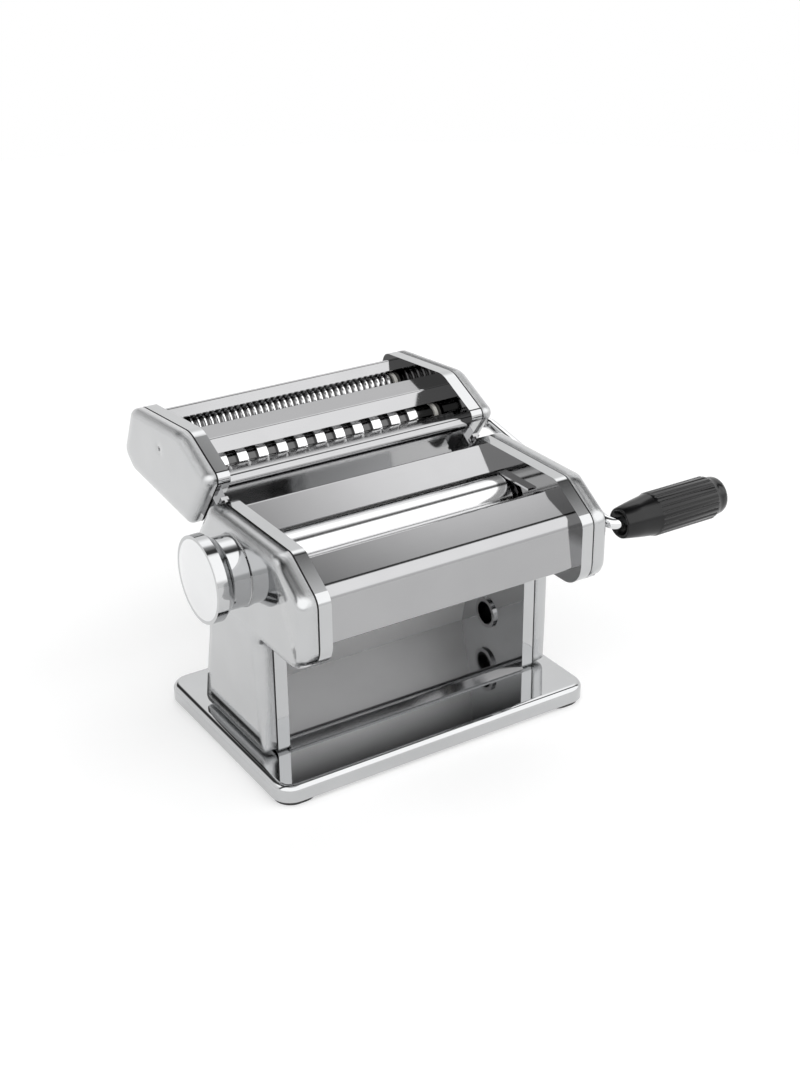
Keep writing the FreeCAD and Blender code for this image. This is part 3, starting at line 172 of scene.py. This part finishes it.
# Surface grain: the fine marks that every piece carries, shared by all the materials.
# It is noise, stretched by the material that uses it, given as a fine mask, a broad mask and a
# slightly tilted normal.
grain = bpy.data.node_groups.new("surface_grain", "ShaderNodeTree")
grain_sockets = (("Stretch", "INPUT", "NodeSocketVector"), ("Depth", "INPUT", "NodeSocketFloat"),
                 ("Mask", "OUTPUT", "NodeSocketFloat"), ("Broad", "OUTPUT", "NodeSocketFloat"),
                 ("Normal", "OUTPUT", "NodeSocketVector"))
for socket_name, way, kind in grain_sockets:
    grain.interface.new_socket(name=socket_name, in_out=way, socket_type=kind)
grain_in = add_node(grain, "NodeGroupInput", (0, 0))
grain_place = add_node(grain, "ShaderNodeTexCoord", (0, 1))
grain_scale = add_node(grain, "ShaderNodeVectorMath", (1, 0), operation="MULTIPLY")
grain.links.new(grain_place.outputs["Object"], grain_scale.inputs[0])
grain.links.new(grain_in.outputs["Stretch"], grain_scale.inputs[1])
grain_noise = add_node(grain, "ShaderNodeTexNoise", (2, 0), Scale=1.0, Detail=4.0, Roughness=0.6)
grain.links.new(grain_scale.outputs[0], grain_noise.inputs["Vector"])
broad_noise = add_node(grain, "ShaderNodeTexNoise", (2, 1), Scale=38.0, Detail=2.0)
grain.links.new(grain_place.outputs["Object"], broad_noise.inputs["Vector"])
grain_bump = add_node(grain, "ShaderNodeBump", (3, 0), Distance=0.0002)
grain.links.new(grain_in.outputs["Depth"], grain_bump.inputs["Strength"])
grain.links.new(grain_noise.outputs[0], grain_bump.inputs["Height"])
grain_out = add_node(grain, "NodeGroupOutput", (4, 0))
grain.links.new(grain_noise.outputs[0], grain_out.inputs["Mask"])
grain.links.new(broad_noise.outputs[0], grain_out.inputs["Broad"])
grain.links.new(grain_bump.outputs[0], grain_out.inputs["Normal"])


def grained(name, dark, light, metal, rough, stretch, depth, sheen=0.5, edge_round=0.0):
    """A material whose colour and roughness both vary with the grain; rough is a (low, high) pair.
    An edge round spreads the shading of pressed corners over that many metres."""
    look = bpy.data.materials.new(name)
    look.use_nodes = True
    tree = look.node_tree
    tree.nodes.clear()
    source = add_node(tree, "ShaderNodeGroup", (0, 0), node_tree=grain, Stretch=stretch, Depth=depth)
    tint = add_node(tree, "ShaderNodeMix", (1, 0), data_type="RGBA")
    tint.inputs["A"].default_value = (*dark, 1)
    tint.inputs["B"].default_value = (*light, 1)
    tree.links.new(source.outputs["Broad"], tint.inputs["Factor"])
    polish = add_node(tree, "ShaderNodeMapRange", (1, 1), To_Min=rough[0], To_Max=rough[1])
    tree.links.new(source.outputs["Mask"], polish.inputs["Value"])
    surface = add_node(tree, "ShaderNodeBsdfPrincipled", (2, 0), Metallic=metal, Specular_IOR_Level=sheen)
    tree.links.new(tint.outputs["Result"], surface.inputs["Base Color"])
    tree.links.new(polish.outputs["Result"], surface.inputs["Roughness"])
    tree.links.new(source.outputs["Normal"], surface.inputs["Normal"])
    if edge_round:
        pressed = add_node(tree, "ShaderNodeBevel", (1, 2), samples=16, Radius=edge_round)
        tree.links.new(source.outputs["Normal"], pressed.inputs["Normal"])
        tree.links.new(pressed.outputs[0], surface.inputs["Normal"])
    out = add_node(tree, "ShaderNodeOutputMaterial", (3, 0))
    tree.links.new(surface.outputs[0], out.inputs[0])
    return look


def dress(look, *names):
    """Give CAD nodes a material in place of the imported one."""
    for name in names:
        nodes[name].data.materials.clear()
        nodes[name].data.materials.append(look)


# Base plate: the tray on which the machine stands, with its rim turned down.
# It is pressed from one steel sheet and plated with bright chrome that has a faint haze.
chrome_dark, chrome_light, chrome_rough = (0.48, 0.485, 0.49), (0.54, 0.545, 0.55), (0.04, 0.07)
even_grain, chrome_depth = (900, 900, 900), 0.002
plate_chrome = grained("plate_chrome", chrome_dark, chrome_light, 1.0, chrome_rough, even_grain, chrome_depth)
dress(plate_chrome, "base_plate")

# Side plates: the plates with legs that carry the rollers, and the smaller pair of the cutter.
# They are stamped steel under the same chrome; the tie rods hold the large pair apart. Faces square
# to the rollers carry painted shade above a level: a darker tone that stands in for the shade and dark
# reflections between the rollers.
cheek_shade_grey, cheek_level = 0.22, 0.120
cutter_cheek_shade_grey, cutter_cheek_level = 0.06, 0.0
square_edge, level_blend = (0.90, 0.98), 0.004


def product(tree, place, first, second):
    """The share where two shares hold together: the one times the other."""
    node = add_node(tree, "ShaderNodeMath", place, operation="MULTIPLY")
    tree.links.new(first, node.inputs[0])
    tree.links.new(second, node.inputs[1])
    return node.outputs[0]


def principled(look):
    """The surface node of a grained material."""
    return next(node for node in look.node_tree.nodes if node.bl_idname == "ShaderNodeBsdfPrincipled")


def paint_shade(look, mask, grey):
    """Mix a material's colour towards a grey where a mask socket in its tree is 1, as painted shade."""
    tree = look.node_tree
    surface = principled(look)
    plain = surface.inputs["Base Color"].links[0].from_socket
    tint = add_node(tree, "ShaderNodeMix", (1, 3), data_type="RGBA")
    tint.inputs["B"].default_value = (grey, grey, grey, 1)
    tree.links.new(mask, tint.inputs["Factor"])
    tree.links.new(plain, tint.inputs["A"])
    tree.links.new(tint.outputs["Result"], surface.inputs["Base Color"])


def side_plate_with_painted_shade(name, grey, level):
    """Bright plate whose faces square to the rollers carry painted shade above a level: the share is a step
    in the size of the normal's X, times a step in height."""
    look = grained(name, chrome_dark, chrome_light, 1.0, chrome_rough, even_grain, chrome_depth)
    tree = look.node_tree
    normal = split_source(tree, (-3, 2), "ShaderNodeNewGeometry", "Normal")
    square = add_node(tree, "ShaderNodeMath", (-1, 2), operation="ABSOLUTE")
    tree.links.new(normal["X"], square.inputs[0])
    inner = share_between(tree, (0, 2), square.outputs[0], *square_edge)
    spot = split_source(tree, (-3, 3), "ShaderNodeTexCoord", "Object")
    high = share_between(tree, (0, 3), spot["Z"], level - level_blend, level + level_blend)
    paint_shade(look, product(tree, (1, 2), inner, high), grey)
    return look


dress(side_plate_with_painted_shade("cheek_chrome_painted_shade", cheek_shade_grey, cheek_level), "left_cheek", "right_cheek")
dress(side_plate_with_painted_shade("cutter_cheek_chrome_painted_shade", cutter_cheek_shade_grey, cutter_cheek_level),
      "cutter_left_cheek", "cutter_right_cheek")

# Covers and caps: rounded shells over the outsides of the side plates, on the head and on the cutter.
# They are drawn from steel sheet and chromed; the edge round softens the shading of their corners.
cover_chrome = grained("cover_chrome", chrome_dark, chrome_light, 1.0, chrome_rough, even_grain, chrome_depth,
                       edge_round=0.007)
dress(cover_chrome, "left_cover", "right_cover", "cutter_left_cap", "cutter_right_cap")

# Feet: four round pads that keep the machine from sliding on a table.
# They are moulded in soft black rubber and fixed under the base plate.
rubber = grained("foot_rubber", (0.012, 0.012, 0.012), (0.03, 0.03, 0.03), 0.0, (0.6, 0.85),
                 (700, 700, 700), 0.5)
dress(rubber, "rubber_feet")

# Seals: thin gaskets that close the joint between each side plate and its cover.
# They are cut from matt black sheet and held by the covers.
gasket = grained("gasket", (0.008, 0.008, 0.008), (0.02, 0.02, 0.02), 0.0, (0.45, 0.65), (800, 800, 800), 0.3)
dress(gasket, "left_seal", "right_seal", "cutter_left_seal", "cutter_right_seal")

# Panels: the folded sheets between the side plates, on the head and on the cutter, with the chute,
# and the cutter's rails and hooks. They are bright steel with a trace of rolling grain along the machine.
sheet_dark, sheet_light, sheet_rough = (0.37, 0.37, 0.375), (0.41, 0.41, 0.415), (0.07, 0.13)
sheet_chrome = grained("sheet_chrome", sheet_dark, sheet_light, 1.0, sheet_rough, (30, 1400, 1400), 0.006)
dress(sheet_chrome, "front_panel", "hopper_plate", "roller_end_strips", "chute_plate", "cutter_rear_panel",
      "cutter_middle_bar", "cutter_front_panel", "cutter_rails", "cutter_hooks")

# Clamp eyelet: the lined hole in the right leg, into which a table clamp goes.
# It is a rolled ring of the same sheet, with painted shade inside its bore.
eyelet_height, bore_edge, bore_shade_grey = 0.036, (0.0078, 0.0072), 0.03
eyelet_chrome = grained("eyelet_chrome", sheet_dark, sheet_light, 1.0, sheet_rough, even_grain, 0.003)
eyelet = eyelet_chrome.node_tree
eyelet_spot = split_source(eyelet, (-4, 0), "ShaderNodeTexCoord", "Object")
eyelet_level = add_node(eyelet, "ShaderNodeMath", (-2, 0), operation="SUBTRACT")
eyelet_level.inputs[1].default_value = eyelet_height
eyelet.links.new(eyelet_spot["Z"], eyelet_level.inputs[0])
eyelet_flat = add_node(eyelet, "ShaderNodeCombineXYZ", (-1, 1))
eyelet.links.new(eyelet_spot["Y"], eyelet_flat.inputs["Y"])
eyelet.links.new(eyelet_level.outputs[0], eyelet_flat.inputs["Z"])
eyelet_radius = add_node(eyelet, "ShaderNodeVectorMath", (-1, 2), operation="LENGTH")
eyelet.links.new(eyelet_flat.outputs[0], eyelet_radius.inputs[0])
bore_shade_share = share_between(eyelet, (0, 2), eyelet_radius.outputs["Value"], *bore_edge)
paint_shade(eyelet_chrome, bore_shade_share, bore_shade_grey)
dress(eyelet_chrome, "clamp_eyelet")

# Back panel: the leaning sheet between the legs, above the chute.
# It is bright steel at the rear, much duller at the front, and carries painted shade towards its top there,
# under the head.
rear_rough, front_rough, front_facing = 0.12, 0.60, (0.1, -0.1)
shade_heights, shade_grey = (0.046, 0.076), 0.30
slide_chrome = grained("slide_chrome", (0.86, 0.86, 0.86), (0.92, 0.92, 0.92), 1.0, (rear_rough, front_rough),
                       (60, 400, 400), 0.001)
slide = slide_chrome.node_tree
slide_normal = split_source(slide, (-3, 3), "ShaderNodeNewGeometry", "Normal")
slide_front = share_between(slide, (0, 3), slide_normal["Y"], *front_facing)
slide_polish = principled(slide_chrome).inputs["Roughness"].links[0].from_node
slide.links.new(slide_front, slide_polish.inputs["Value"])
slide_spot = split_source(slide, (-3, 4), "ShaderNodeTexCoord", "Object")
slide_high = share_between(slide, (0, 4), slide_spot["Z"], *shade_heights, interpolation_type="SMOOTHSTEP")
paint_shade(slide_chrome, product(slide, (1, 4), slide_front, slide_high), shade_grey)
dress(slide_chrome, "back_panel")

# Smooth rollers: the pair that presses the dough, one driven and one that moves to set the gap.
# They are steel, ground round, which leaves fine marks around them; they run in the side plates.
roller_steel = grained("roller_steel", (0.66, 0.66, 0.665), (0.72, 0.72, 0.725), 1.0, (0.10, 0.18),
                       (2200, 60, 60), 0.01)
dress(roller_steel, "drive_roller", "adjusting_roller")

# Works: the gears, axle, rods, scrapers and strippers in and under the covers, of plain cut steel.
# The bearings and the knob's hub are moulded in off-white plastic and sit in the side plates.
works_steel = grained("works_steel", (0.45, 0.45, 0.46), (0.6, 0.6, 0.61), 1.0, (0.25, 0.42),
                      (500, 500, 60), 0.2)
dress(works_steel, "tie_rods", "front_scraper", "rear_scraper", "gear_plate", "gear_plate_posts",
      "drive_gear", "adjusting_gear", "roller_sleeves", "eccentric_axle", "axle_washer", "index_pin",
      "cutter_strippers", "wide_drive_gear", "wide_idler_gear", "narrow_drive_gear", "narrow_idler_gear")
bearing = grained("bearing_plastic", (0.68, 0.67, 0.63), (0.78, 0.77, 0.73), 0.0, (0.35, 0.5),
                  (600, 600, 600), 0.2)
dress(bearing, "drive_bushes", "index_hub", "cutter_bushes")

# Knob: the pull-out regulator on the left side, which sets the gap between the smooth rollers.
# It is a shell under the base plate's chrome, with a satin pressed face in its end.
dress(plate_chrome, "knob")
knob_satin = grained("knob_satin", (0.74, 0.745, 0.75), (0.80, 0.805, 0.81), 1.0, (0.12, 0.18),
                     even_grain, 0.005)
dress(knob_satin, "knob_face")

# Wide cutter: a pair of rollers with square rings, each ring running in a groove of its mate.
# They are turned from steel bar, run in the cutter's bushes, and the driven one has a crank socket.
ring_high, ring_low, ring_period, ring_width = 0.0095, 0.0072, 0.013, 0.0062
ring_count, ring_margin, ring_sides, groove_shade_grey = 12, 0.0005, 64, 0.10
cutter_half, far_end, drive_end, idler_end = 0.077, -0.085, 0.097, 0.091
far_shaft, near_shaft, socket_bore, socket_floor = 0.004, 0.005, 0.00355, 0.081
pair_distance, pair_lean = 0.017, math.radians(17)
pair_step = (pair_distance * math.cos(pair_lean), pair_distance * math.sin(pair_lean))
wide_spot = (0.0452, 0.1439)
ring_steel = grained("ring_steel", (0.72, 0.72, 0.725), (0.80, 0.80, 0.805), 1.0, (0.10, 0.18),
                     (2000, 80, 80), 0.01)
# Painted shade: the ring steel turns darker towards the groove floors, by how deep each point lies.
groove_shade_mask = add_node(ring_steel.node_tree, "ShaderNodeAttribute", (0, 2), attribute_name="groove")
paint_shade(ring_steel, groove_shade_mask.outputs["Fac"], groove_shade_grey)


def lathe(name, profile, y, z, sides, ripple=0.0):
    """Turn (x, radius) stations round the X line through (y, z): a grid over station and angle.
    The radius gets the ripple added, each end closes on one point of the line, and a repeated
    station leaves a crisp edge."""
    stations = np.array(profile)
    angles = np.arange(sides) * 2 * math.pi / sides
    reach = stations[:, 1:] + ripple + 0 * angles
    along = stations[:, :1] + 0 * angles
    grid = np.stack([along, y + reach * np.cos(angles), z + reach * np.sin(angles)], -1)
    poles = np.array([[stations[0, 0], y, z], [stations[-1, 0], y, z]])
    number = np.arange(reach.size).reshape(reach.shape)
    stepped = np.any(np.diff(stations, axis=0) != 0, axis=1)
    low, high = number[:-1][stepped], number[1:][stepped]
    quads = np.stack([low, np.roll(low, -1, 1), np.roll(high, -1, 1), high], -1).reshape(-1, 4)
    first, last = number[0], number[-1]
    first_fan = np.stack([np.full(sides, reach.size), np.roll(first, -1), first], -1)
    last_fan = np.stack([np.full(sides, reach.size + 1), last, np.roll(last, -1)], -1)
    mesh = bpy.data.meshes.new(name)
    mesh.from_pydata(np.concatenate([grid.reshape(-1, 3), poles]).tolist(), [],
                     quads.tolist() + first_fan.tolist() + last_fan.tolist())
    mesh.polygons.foreach_set("use_smooth", np.arange(len(mesh.polygons)) < len(quads))
    mesh.update()
    piece = bpy.data.objects.new(name, mesh)
    bpy.context.scene.collection.objects.link(piece)
    return piece


def crisp(points):
    """Repeat every point, so that each straight run is shaded on its own."""
    return [point for point in points for _ in range(2)]


def shaft_ends(middle, tip):
    """Close a roller's middle stations with its plain shafts; a long tip has an open crank socket."""
    left = [(far_end, far_shaft), (-cutter_half, far_shaft)]
    right = [(cutter_half, near_shaft), (tip, near_shaft)]
    if tip == drive_end:
        right += [(tip, socket_bore), (socket_floor, socket_bore)]
    return left + middle + right


def mark_grooves(piece, profile, sides, low, high):
    """Store on each point how deep it lies between the ring tops (0) and the groove floors (1)."""
    depth = np.clip((high - np.array(profile)[:, 1]) / (high - low), 0, 1)
    mask = piece.data.attributes.new("groove", "FLOAT", "POINT")
    mask.data.foreach_set("value", np.concatenate([np.repeat(depth, sides), [1.0, 1.0]]))


def turn_pair(cutter, spot, rings, period, low, high, sides):
    """Both rollers of a cutter, whose rings stand a quarter of a period to either side."""
    mates = ((cutter + "_drive", -1, (0, 0), drive_end), (cutter + "_idler", 1, pair_step, idler_end))
    for body, way, (step_y, step_z), tip in mates:
        profile = crisp(shaft_ends(rings(way * period / 4), tip))
        piece = lathe(body + "_rings", profile, spot[0] + step_y, spot[1] + step_z, sides)
        mark_grooves(piece, profile, sides, low, high)
        piece.data.materials.append(ring_steel)
        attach(piece, body)
        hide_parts(body + "_roller")


def wide_rings(shift):
    """Stations of the square rings that lie fully on the roller."""
    stations = [(-cutter_half, ring_low)]
    for ring in range(ring_count):
        middle = (ring - (ring_count - 1) / 2) * ring_period + shift
        if abs(middle) + ring_width / 2 < cutter_half - ring_margin:
            stations += [(middle - ring_width / 2, ring_low), (middle - ring_width / 2, ring_high),
                         (middle + ring_width / 2, ring_high), (middle + ring_width / 2, ring_low)]
    return stations + [(cutter_half, ring_low)]


turn_pair("wide", wide_spot, wide_rings, ring_period, ring_low, ring_high, ring_sides)

# Narrow cutter: the pair behind it, with fine sharp rings for thin noodles.
# It is turned from the same steel and runs in the same way.
fine_high, fine_low, fine_period, fine_count, fine_sides = 0.0092, 0.0074, 0.0042, 36, 48
fine_foot, fine_tip = 0.45 * fine_period, 0.1 * fine_period
narrow_spot = (0.0916, 0.1502)


def fine_rings(shift):
    """Stations of the sharp rings that lie fully on the roller."""
    stations = [(-cutter_half, fine_low)]
    for ring in range(fine_count):
        middle = (ring - (fine_count - 1) / 2) * fine_period + shift
        if abs(middle) + fine_period / 2 <= cutter_half:
            stations += [(middle - fine_foot, fine_low), (middle - fine_tip, fine_high),
                         (middle + fine_tip, fine_high), (middle + fine_foot, fine_low)]
    return stations + [(cutter_half, fine_low)]


turn_pair("narrow", narrow_spot, fine_rings, fine_period, fine_low, fine_high, fine_sides)

# Crank: the bent rod that turns the rollers, pushed into one of their sockets.
# It is round steel bar under bright chrome.
rod_chrome = grained("rod_chrome", (0.70, 0.705, 0.71), (0.76, 0.765, 0.77), 1.0, (0.05, 0.09),
                     even_grain, 0.002)
dress(rod_chrome, "crank_rod")

# Grip: the handle that spins on the end of the crank, with a blind bore for it.
# It is moulded in black plastic, with lengthwise flutes between its shoulder and its plain end.
grip_y, grip_z, grip_full = -0.080, 0.1195, 0.0132
flute_count, flute_depth, flute_sides = 22, 0.0007, 22 * 12
grip_profile = [(0.1865, 0.0038), (0.130, 0.0038), (0.130, 0.0072), (0.1168, 0.0072), (0.1165, 0.0078),
                (0.1165, 0.0086), (0.1172, 0.00925), (0.1285, 0.0112), (0.1378, 0.0124), (0.1386, 0.0127),
                (0.1392, 0.0131), (0.1400, grip_full), (0.1815, grip_full), (0.1822, 0.0128),
                (0.1830, 0.0120), (0.1860, 0.01175), (0.1890, 0.0113), (0.1904, 0.0106),
                (0.1912, 0.0094), (0.1915, 0.0078)]
fluted = np.array([[radius == grip_full] for x, radius in grip_profile])


def flutes(sides):
    """Shallow rounded valleys between the ribs: a power of a cosine round the grip, on its full width."""
    angles = np.arange(sides) * 2 * math.pi / sides
    return -flute_depth * fluted * (0.5 - 0.5 * np.cos(flute_count * angles)) ** 4


grip = lathe("grip_body", grip_profile, grip_y, grip_z, flute_sides, flutes(flute_sides))
grip_black = grained("grip_black", (0.003, 0.003, 0.003), (0.006, 0.006, 0.0065), 0.0, (0.12, 0.20),
                     (500, 900, 900), 0.02, sheen=0.38)
grip.data.materials.append(grip_black)
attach(grip, "grip")
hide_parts("crank_grip")
